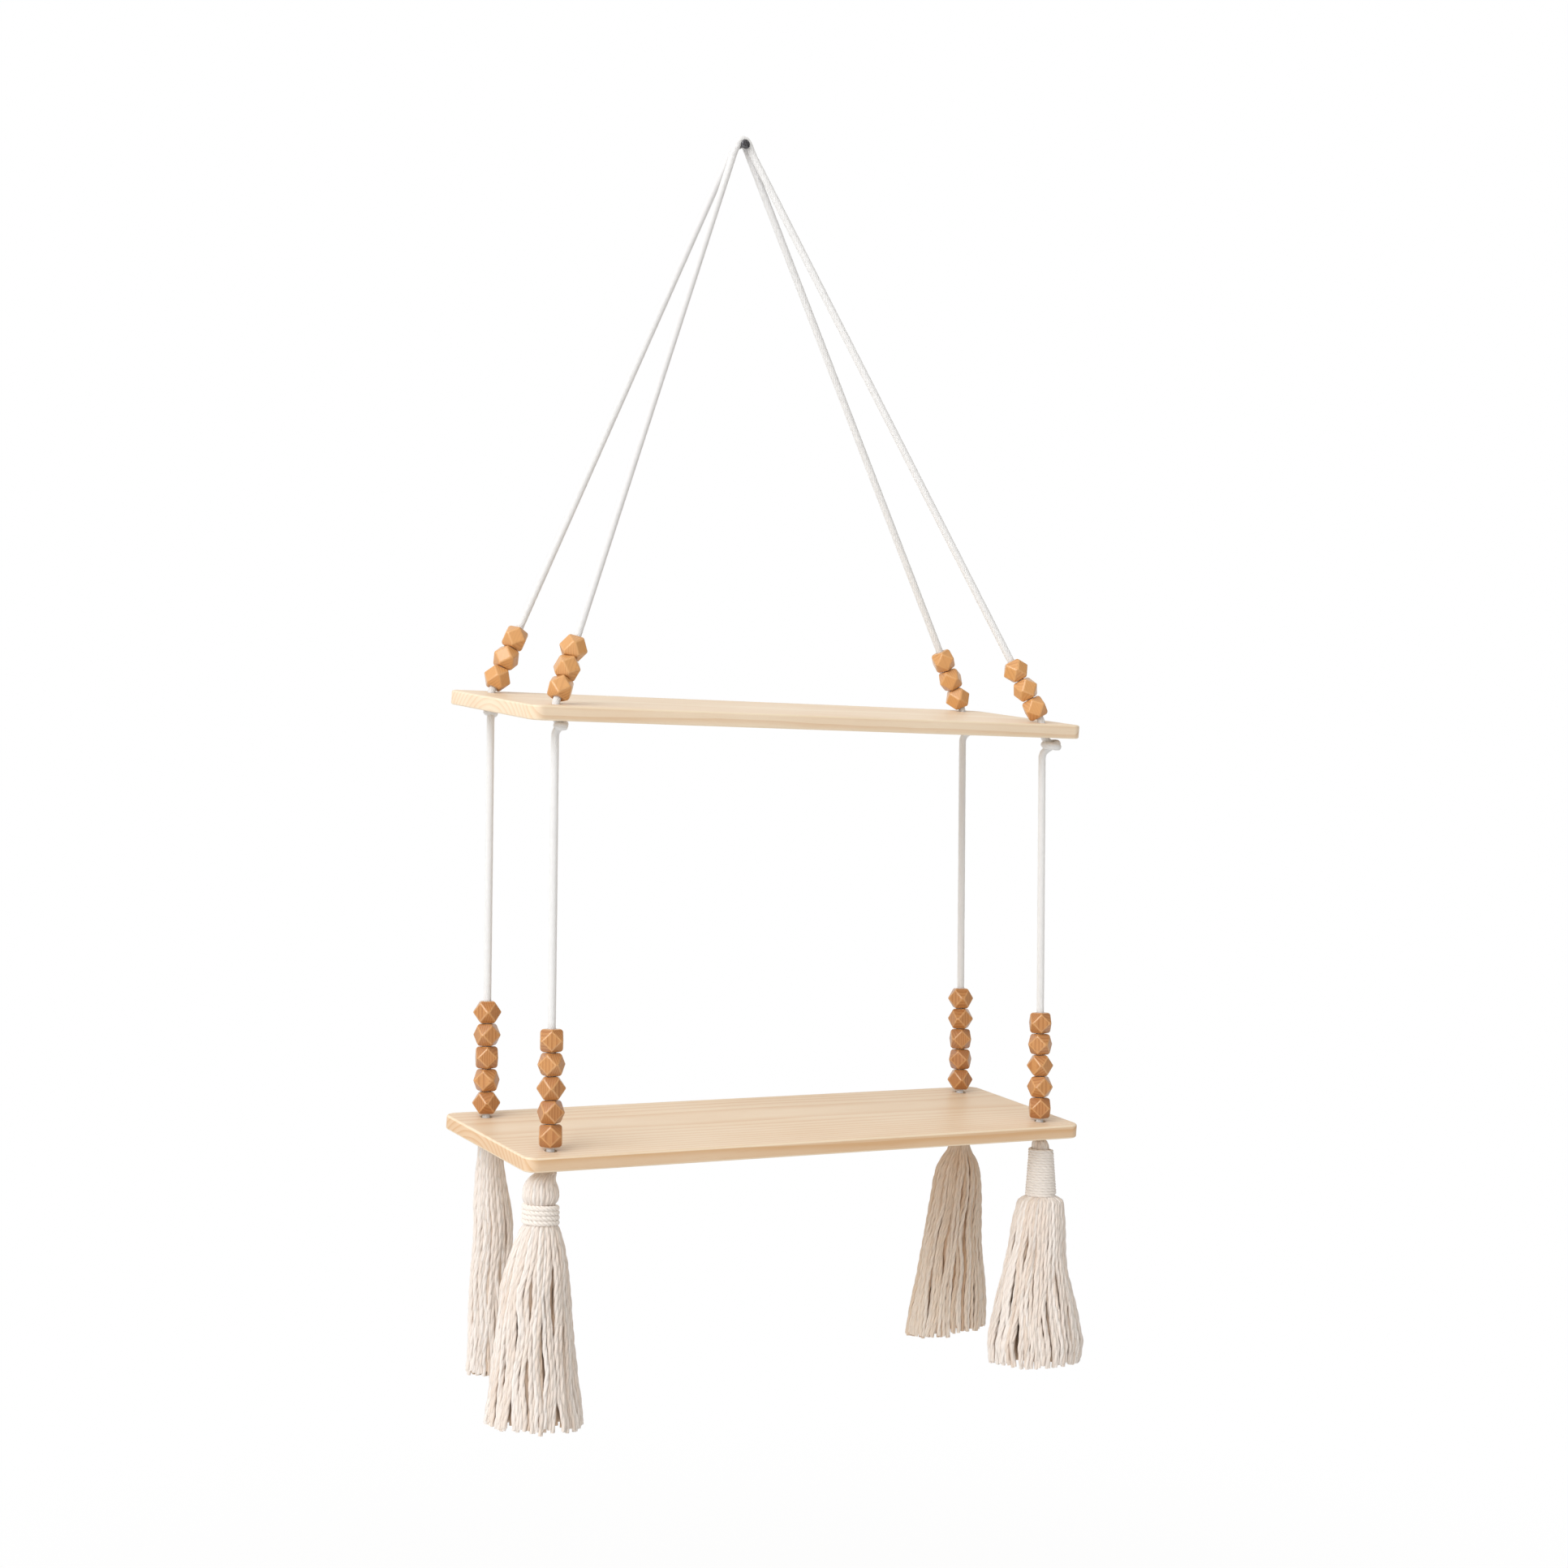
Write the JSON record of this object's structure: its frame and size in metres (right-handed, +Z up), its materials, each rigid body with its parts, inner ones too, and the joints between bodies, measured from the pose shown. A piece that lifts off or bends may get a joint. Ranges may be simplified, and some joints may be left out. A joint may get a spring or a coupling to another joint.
{
  "type": "hanging rope shelf",
  "caption": "Wall-hung shelf: two pale wooden boards on twisted cotton ropes over one nail, with faceted wooden beads above each board and cotton tassels below.",
  "frame": {"origin": "where the nail's axis meets the wall", "axes": "+Z up, +Y into the wall along the nail, +X to the right of someone facing the shelf"},
  "size_m": [0.4839, 0.1745, 0.9077],
  "materials": {
    "board_wood": "pale birch, satin",
    "bead_wood": "stained beech, satin",
    "cotton_rope": "three-strand twisted cotton",
    "tassel_cotton": "loose twisted cotton strands",
    "nail_steel": "dark wire nail"
  },
  "bodies": {
    "nail": {"wall_nail": "nail_steel"},
    "crown": {"rope_crown_rear": "cotton_rope", "rope_crown_front": "cotton_rope"},
    "upper_tier": {"upper_board": "board_wood", "rope_leg_rear_left": "cotton_rope", "rope_leg_front_left": "cotton_rope", "rope_leg_rear_right": "cotton_rope", "rope_leg_front_right": "cotton_rope"},
    "link_rear_left": {"rope_link_rear_left": "cotton_rope"},
    "link_front_left": {"rope_link_front_left": "cotton_rope"},
    "link_rear_right": {"rope_link_rear_right": "cotton_rope"},
    "link_front_right": {"rope_link_front_right": "cotton_rope"},
    "lower_tier": {"lower_board": "board_wood"},
    "tassel_rear_left": {"tassel_tail_rear_left": "cotton_rope", "tassel_rear_left": "tassel_cotton"},
    "tassel_front_left": {"tassel_tail_front_left": "cotton_rope", "tassel_front_left": "tassel_cotton", "tassel_wrap_front_left": "tassel_cotton"},
    "tassel_rear_right": {"tassel_tail_rear_right": "cotton_rope", "tassel_rear_right": "tassel_cotton"},
    "tassel_front_right": {"tassel_tail_front_right": "cotton_rope", "tassel_front_right": "tassel_cotton", "tassel_wrap_front_right": "tassel_cotton"},
    "upper_bead_rear_left_1": {"upper_bead_rear_left_1": "bead_wood"},
    "upper_bead_rear_left_2": {"upper_bead_rear_left_2": "bead_wood"},
    "upper_bead_rear_left_3": {"upper_bead_rear_left_3": "bead_wood"},
    "upper_bead_front_left_1": {"upper_bead_front_left_1": "bead_wood"},
    "upper_bead_front_left_2": {"upper_bead_front_left_2": "bead_wood"},
    "upper_bead_front_left_3": {"upper_bead_front_left_3": "bead_wood"},
    "upper_bead_rear_right_1": {"upper_bead_rear_right_1": "bead_wood"},
    "upper_bead_rear_right_2": {"upper_bead_rear_right_2": "bead_wood"},
    "upper_bead_rear_right_3": {"upper_bead_rear_right_3": "bead_wood"},
    "upper_bead_front_right_1": {"upper_bead_front_right_1": "bead_wood"},
    "upper_bead_front_right_2": {"upper_bead_front_right_2": "bead_wood"},
    "upper_bead_front_right_3": {"upper_bead_front_right_3": "bead_wood"},
    "lower_bead_rear_left_1": {"lower_bead_rear_left_1": "bead_wood"},
    "lower_bead_rear_left_2": {"lower_bead_rear_left_2": "bead_wood"},
    "lower_bead_rear_left_3": {"lower_bead_rear_left_3": "bead_wood"},
    "lower_bead_rear_left_4": {"lower_bead_rear_left_4": "bead_wood"},
    "lower_bead_rear_left_5": {"lower_bead_rear_left_5": "bead_wood"},
    "lower_bead_front_left_1": {"lower_bead_front_left_1": "bead_wood"},
    "lower_bead_front_left_2": {"lower_bead_front_left_2": "bead_wood"},
    "lower_bead_front_left_3": {"lower_bead_front_left_3": "bead_wood"},
    "lower_bead_front_left_4": {"lower_bead_front_left_4": "bead_wood"},
    "lower_bead_front_left_5": {"lower_bead_front_left_5": "bead_wood"},
    "lower_bead_rear_right_1": {"lower_bead_rear_right_1": "bead_wood"},
    "lower_bead_rear_right_2": {"lower_bead_rear_right_2": "bead_wood"},
    "lower_bead_rear_right_3": {"lower_bead_rear_right_3": "bead_wood"},
    "lower_bead_rear_right_4": {"lower_bead_rear_right_4": "bead_wood"},
    "lower_bead_rear_right_5": {"lower_bead_rear_right_5": "bead_wood"},
    "lower_bead_front_right_1": {"lower_bead_front_right_1": "bead_wood"},
    "lower_bead_front_right_2": {"lower_bead_front_right_2": "bead_wood"},
    "lower_bead_front_right_3": {"lower_bead_front_right_3": "bead_wood"},
    "lower_bead_front_right_4": {"lower_bead_front_right_4": "bead_wood"},
    "lower_bead_front_right_5": {"lower_bead_front_right_5": "bead_wood"}
  },
  "joints": [
    {"name": "side_swing", "type": "hinge", "parent": "nail", "child": "crown", "pos_m": [0, 0, 0], "axis": [0, 1, 0], "range_deg": [-12, 12]},
    {"name": "pull_out", "type": "hinge", "parent": "crown", "child": "upper_tier", "pos_m": [0, -0.0142, -0.00635], "axis": [-1, 0, 0], "range_deg": [0, 20]},
    {"name": "sway", "type": "hinge", "parent": "upper_tier", "child": "link_rear_left", "pos_m": [-0.2, -0.01896, -0.44055], "axis": [0, 1, 0], "range_deg": [-8, 8]},
    {"name": "sway_front_left", "type": "hinge", "parent": "upper_tier", "child": "link_front_left", "pos_m": [-0.2, -0.12223, -0.45286], "axis": [0, 1, 0], "range_deg": [-8, 8]},
    {"name": "sway_rear_right", "type": "hinge", "parent": "upper_tier", "child": "link_rear_right", "pos_m": [0.2, -0.01896, -0.44055], "axis": [0, 1, 0], "range_deg": [-8, 8]},
    {"name": "sway_front_right", "type": "hinge", "parent": "upper_tier", "child": "link_front_right", "pos_m": [0.2, -0.12223, -0.45286], "axis": [0, 1, 0], "range_deg": [-8, 8]},
    {"name": "sway_level", "type": "hinge", "parent": "link_rear_left", "child": "lower_tier", "pos_m": [-0.2, -0.01896, -0.71381], "axis": [0, 1, 0], "range_deg": [-8, 8]},
    {"name": "tassel_swing_rear_left", "type": "hinge", "parent": "lower_tier", "child": "tassel_rear_left", "pos_m": [-0.2, -0.01896, -0.72164], "axis": [0, 1, 0], "range_deg": [-20, 20]},
    {"name": "tassel_swing_front_left", "type": "hinge", "parent": "lower_tier", "child": "tassel_front_left", "pos_m": [-0.2, -0.12223, -0.73396], "axis": [0, 1, 0], "range_deg": [-20, 20]},
    {"name": "tassel_swing_rear_right", "type": "hinge", "parent": "lower_tier", "child": "tassel_rear_right", "pos_m": [0.2, -0.01896, -0.72164], "axis": [0, 1, 0], "range_deg": [-20, 20]},
    {"name": "tassel_swing_front_right", "type": "hinge", "parent": "lower_tier", "child": "tassel_front_right", "pos_m": [0.2, -0.12223, -0.73396], "axis": [0, 1, 0], "range_deg": [-20, 20]},
    {"name": "upper_beads_lift_rear_left", "type": "slide", "parent": "upper_tier", "child": "upper_bead_rear_left_1", "axis": [0.4267, 0.0166, 0.9042], "range_m": [0, 0.28]},
    {"name": "upper_beads_lift_front_left", "type": "slide", "parent": "upper_tier", "child": "upper_bead_front_left_1", "axis": [0.4062, 0.2224, 0.8863], "range_m": [0, 0.28]},
    {"name": "upper_beads_lift_rear_right", "type": "slide", "parent": "upper_tier", "child": "upper_bead_rear_right_1", "axis": [-0.4267, 0.0166, 0.9042], "range_m": [0, 0.28]},
    {"name": "upper_beads_lift_front_right", "type": "slide", "parent": "upper_tier", "child": "upper_bead_front_right_1", "axis": [-0.4062, 0.2224, 0.8863], "range_m": [0, 0.28]},
    {"name": "lower_beads_lift_rear_left", "type": "slide", "parent": "link_rear_left", "child": "lower_bead_rear_left_1", "axis": [0, 0, 1], "range_m": [0, 0.18]},
    {"name": "lower_beads_lift_front_left", "type": "slide", "parent": "link_front_left", "child": "lower_bead_front_left_1", "axis": [0, 0, 1], "range_m": [0, 0.18]},
    {"name": "lower_beads_lift_rear_right", "type": "slide", "parent": "link_rear_right", "child": "lower_bead_rear_right_1", "axis": [0, 0, 1], "range_m": [0, 0.18]},
    {"name": "lower_beads_lift_front_right", "type": "slide", "parent": "link_front_right", "child": "lower_bead_front_right_1", "axis": [0, 0, 1], "range_m": [0, 0.18]},
    {"name": "upper_bead_spin_rear_left_2", "type": "hinge", "parent": "upper_bead_rear_left_1", "child": "upper_bead_rear_left_2", "pos_m": [-0.2, -0.01896, -0.41377], "axis": [0.4267, 0.0166, 0.9042], "continuous": true},
    {"name": "upper_bead_spin_rear_left_3", "type": "hinge", "parent": "upper_bead_rear_left_1", "child": "upper_bead_rear_left_3", "pos_m": [-0.2, -0.01896, -0.41377], "axis": [0.4267, 0.0166, 0.9042], "continuous": true},
    {"name": "upper_bead_spin_front_left_2", "type": "hinge", "parent": "upper_bead_front_left_1", "child": "upper_bead_front_left_2", "pos_m": [-0.2, -0.12223, -0.42609], "axis": [0.4062, 0.2224, 0.8863], "continuous": true},
    {"name": "upper_bead_spin_front_left_3", "type": "hinge", "parent": "upper_bead_front_left_1", "child": "upper_bead_front_left_3", "pos_m": [-0.2, -0.12223, -0.42609], "axis": [0.4062, 0.2224, 0.8863], "continuous": true},
    {"name": "upper_bead_spin_rear_right_2", "type": "hinge", "parent": "upper_bead_rear_right_1", "child": "upper_bead_rear_right_2", "pos_m": [0.2, -0.01896, -0.41377], "axis": [-0.4267, 0.0166, 0.9042], "continuous": true},
    {"name": "upper_bead_spin_rear_right_3", "type": "hinge", "parent": "upper_bead_rear_right_1", "child": "upper_bead_rear_right_3", "pos_m": [0.2, -0.01896, -0.41377], "axis": [-0.4267, 0.0166, 0.9042], "continuous": true},
    {"name": "upper_bead_spin_front_right_2", "type": "hinge", "parent": "upper_bead_front_right_1", "child": "upper_bead_front_right_2", "pos_m": [0.2, -0.12223, -0.42609], "axis": [-0.4062, 0.2224, 0.8863], "continuous": true},
    {"name": "upper_bead_spin_front_right_3", "type": "hinge", "parent": "upper_bead_front_right_1", "child": "upper_bead_front_right_3", "pos_m": [0.2, -0.12223, -0.42609], "axis": [-0.4062, 0.2224, 0.8863], "continuous": true},
    {"name": "lower_bead_spin_rear_left_2", "type": "hinge", "parent": "lower_bead_rear_left_1", "child": "lower_bead_rear_left_2", "pos_m": [-0.2, -0.01896, -0.70877], "axis": [0, 0, 1], "continuous": true},
    {"name": "lower_bead_spin_rear_left_3", "type": "hinge", "parent": "lower_bead_rear_left_1", "child": "lower_bead_rear_left_3", "pos_m": [-0.2, -0.01896, -0.70877], "axis": [0, 0, 1], "continuous": true},
    {"name": "lower_bead_spin_rear_left_4", "type": "hinge", "parent": "lower_bead_rear_left_1", "child": "lower_bead_rear_left_4", "pos_m": [-0.2, -0.01896, -0.70877], "axis": [0, 0, 1], "continuous": true},
    {"name": "lower_bead_spin_rear_left_5", "type": "hinge", "parent": "lower_bead_rear_left_1", "child": "lower_bead_rear_left_5", "pos_m": [-0.2, -0.01896, -0.70877], "axis": [0, 0, 1], "continuous": true},
    {"name": "lower_bead_spin_front_left_2", "type": "hinge", "parent": "lower_bead_front_left_1", "child": "lower_bead_front_left_2", "pos_m": [-0.2, -0.12223, -0.72109], "axis": [0, 0, 1], "continuous": true},
    {"name": "lower_bead_spin_front_left_3", "type": "hinge", "parent": "lower_bead_front_left_1", "child": "lower_bead_front_left_3", "pos_m": [-0.2, -0.12223, -0.72109], "axis": [0, 0, 1], "continuous": true},
    {"name": "lower_bead_spin_front_left_4", "type": "hinge", "parent": "lower_bead_front_left_1", "child": "lower_bead_front_left_4", "pos_m": [-0.2, -0.12223, -0.72109], "axis": [0, 0, 1], "continuous": true},
    {"name": "lower_bead_spin_front_left_5", "type": "hinge", "parent": "lower_bead_front_left_1", "child": "lower_bead_front_left_5", "pos_m": [-0.2, -0.12223, -0.72109], "axis": [0, 0, 1], "continuous": true},
    {"name": "lower_bead_spin_rear_right_2", "type": "hinge", "parent": "lower_bead_rear_right_1", "child": "lower_bead_rear_right_2", "pos_m": [0.2, -0.01896, -0.70877], "axis": [0, 0, 1], "continuous": true},
    {"name": "lower_bead_spin_rear_right_3", "type": "hinge", "parent": "lower_bead_rear_right_1", "child": "lower_bead_rear_right_3", "pos_m": [0.2, -0.01896, -0.70877], "axis": [0, 0, 1], "continuous": true},
    {"name": "lower_bead_spin_rear_right_4", "type": "hinge", "parent": "lower_bead_rear_right_1", "child": "lower_bead_rear_right_4", "pos_m": [0.2, -0.01896, -0.70877], "axis": [0, 0, 1], "continuous": true},
    {"name": "lower_bead_spin_rear_right_5", "type": "hinge", "parent": "lower_bead_rear_right_1", "child": "lower_bead_rear_right_5", "pos_m": [0.2, -0.01896, -0.70877], "axis": [0, 0, 1], "continuous": true},
    {"name": "lower_bead_spin_front_right_2", "type": "hinge", "parent": "lower_bead_front_right_1", "child": "lower_bead_front_right_2", "pos_m": [0.2, -0.12223, -0.72109], "axis": [0, 0, 1], "continuous": true},
    {"name": "lower_bead_spin_front_right_3", "type": "hinge", "parent": "lower_bead_front_right_1", "child": "lower_bead_front_right_3", "pos_m": [0.2, -0.12223, -0.72109], "axis": [0, 0, 1], "continuous": true},
    {"name": "lower_bead_spin_front_right_4", "type": "hinge", "parent": "lower_bead_front_right_1", "child": "lower_bead_front_right_4", "pos_m": [0.2, -0.12223, -0.72109], "axis": [0, 0, 1], "continuous": true},
    {"name": "lower_bead_spin_front_right_5", "type": "hinge", "parent": "lower_bead_front_right_1", "child": "lower_bead_front_right_5", "pos_m": [0.2, -0.12223, -0.72109], "axis": [0, 0, 1], "continuous": true}
  ],
  "couplings": [
    {"joint": "sway_front_left", "follows": "sway", "ratio": 1},
    {"joint": "sway_rear_right", "follows": "sway", "ratio": 1},
    {"joint": "sway_front_right", "follows": "sway", "ratio": 1},
    {"joint": "sway_level", "follows": "sway", "ratio": -1}
  ]
}
